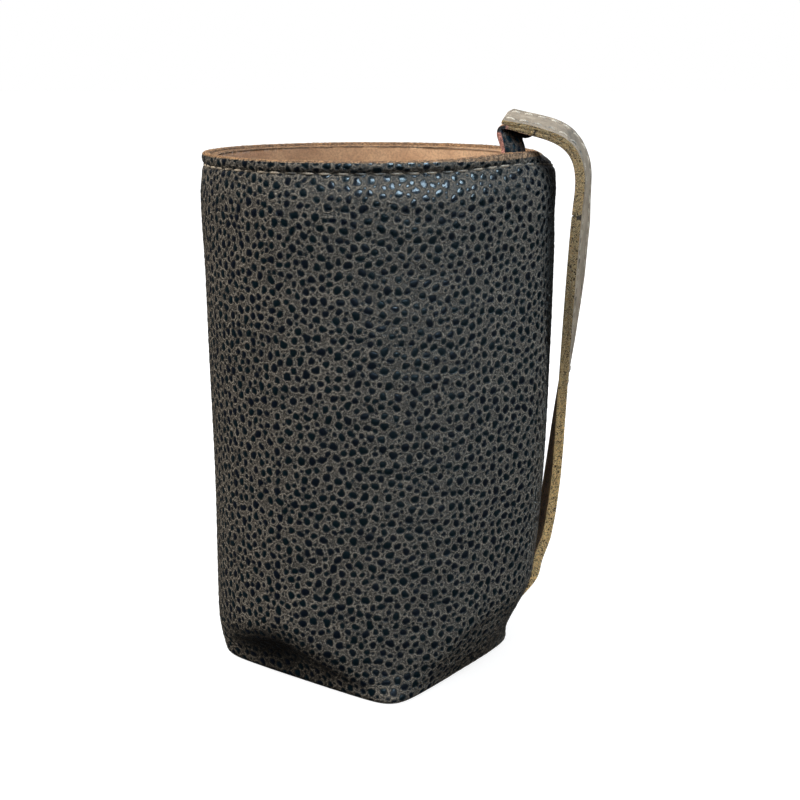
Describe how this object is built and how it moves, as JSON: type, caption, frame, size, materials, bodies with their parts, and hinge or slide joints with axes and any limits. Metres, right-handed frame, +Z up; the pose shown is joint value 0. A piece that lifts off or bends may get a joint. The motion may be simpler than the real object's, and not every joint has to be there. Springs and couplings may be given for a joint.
{
  "type": "can cooler sleeve",
  "caption": "Open leather sleeve that holds and insulates a drinks can, with a folded square base and a leather carrying strap down one side.",
  "frame": {"origin": "centre of the flat base that the sleeve stands on", "axes": "+Z up along the sleeve, out of its open mouth; +X towards the strap; -Y towards the pictured front"},
  "size_m": [0.0896, 0.0768, 0.1298],
  "materials": {
    "pebbled_leather": "glossy pebbled grain, nearly black over a taupe ground",
    "suede": "tan suede",
    "smooth_leather": "smooth taupe with raw golden edges",
    "brown_leather": "dark brown pebbled, with raw golden edges"
  },
  "bodies": {
    "root": {"outer_shell": "pebbled_leather", "lining": "suede", "strap_outer": "smooth_leather", "strap_inner_top": "brown_leather", "strap_inner_low": "brown_leather"}
  },
  "joints": []
}
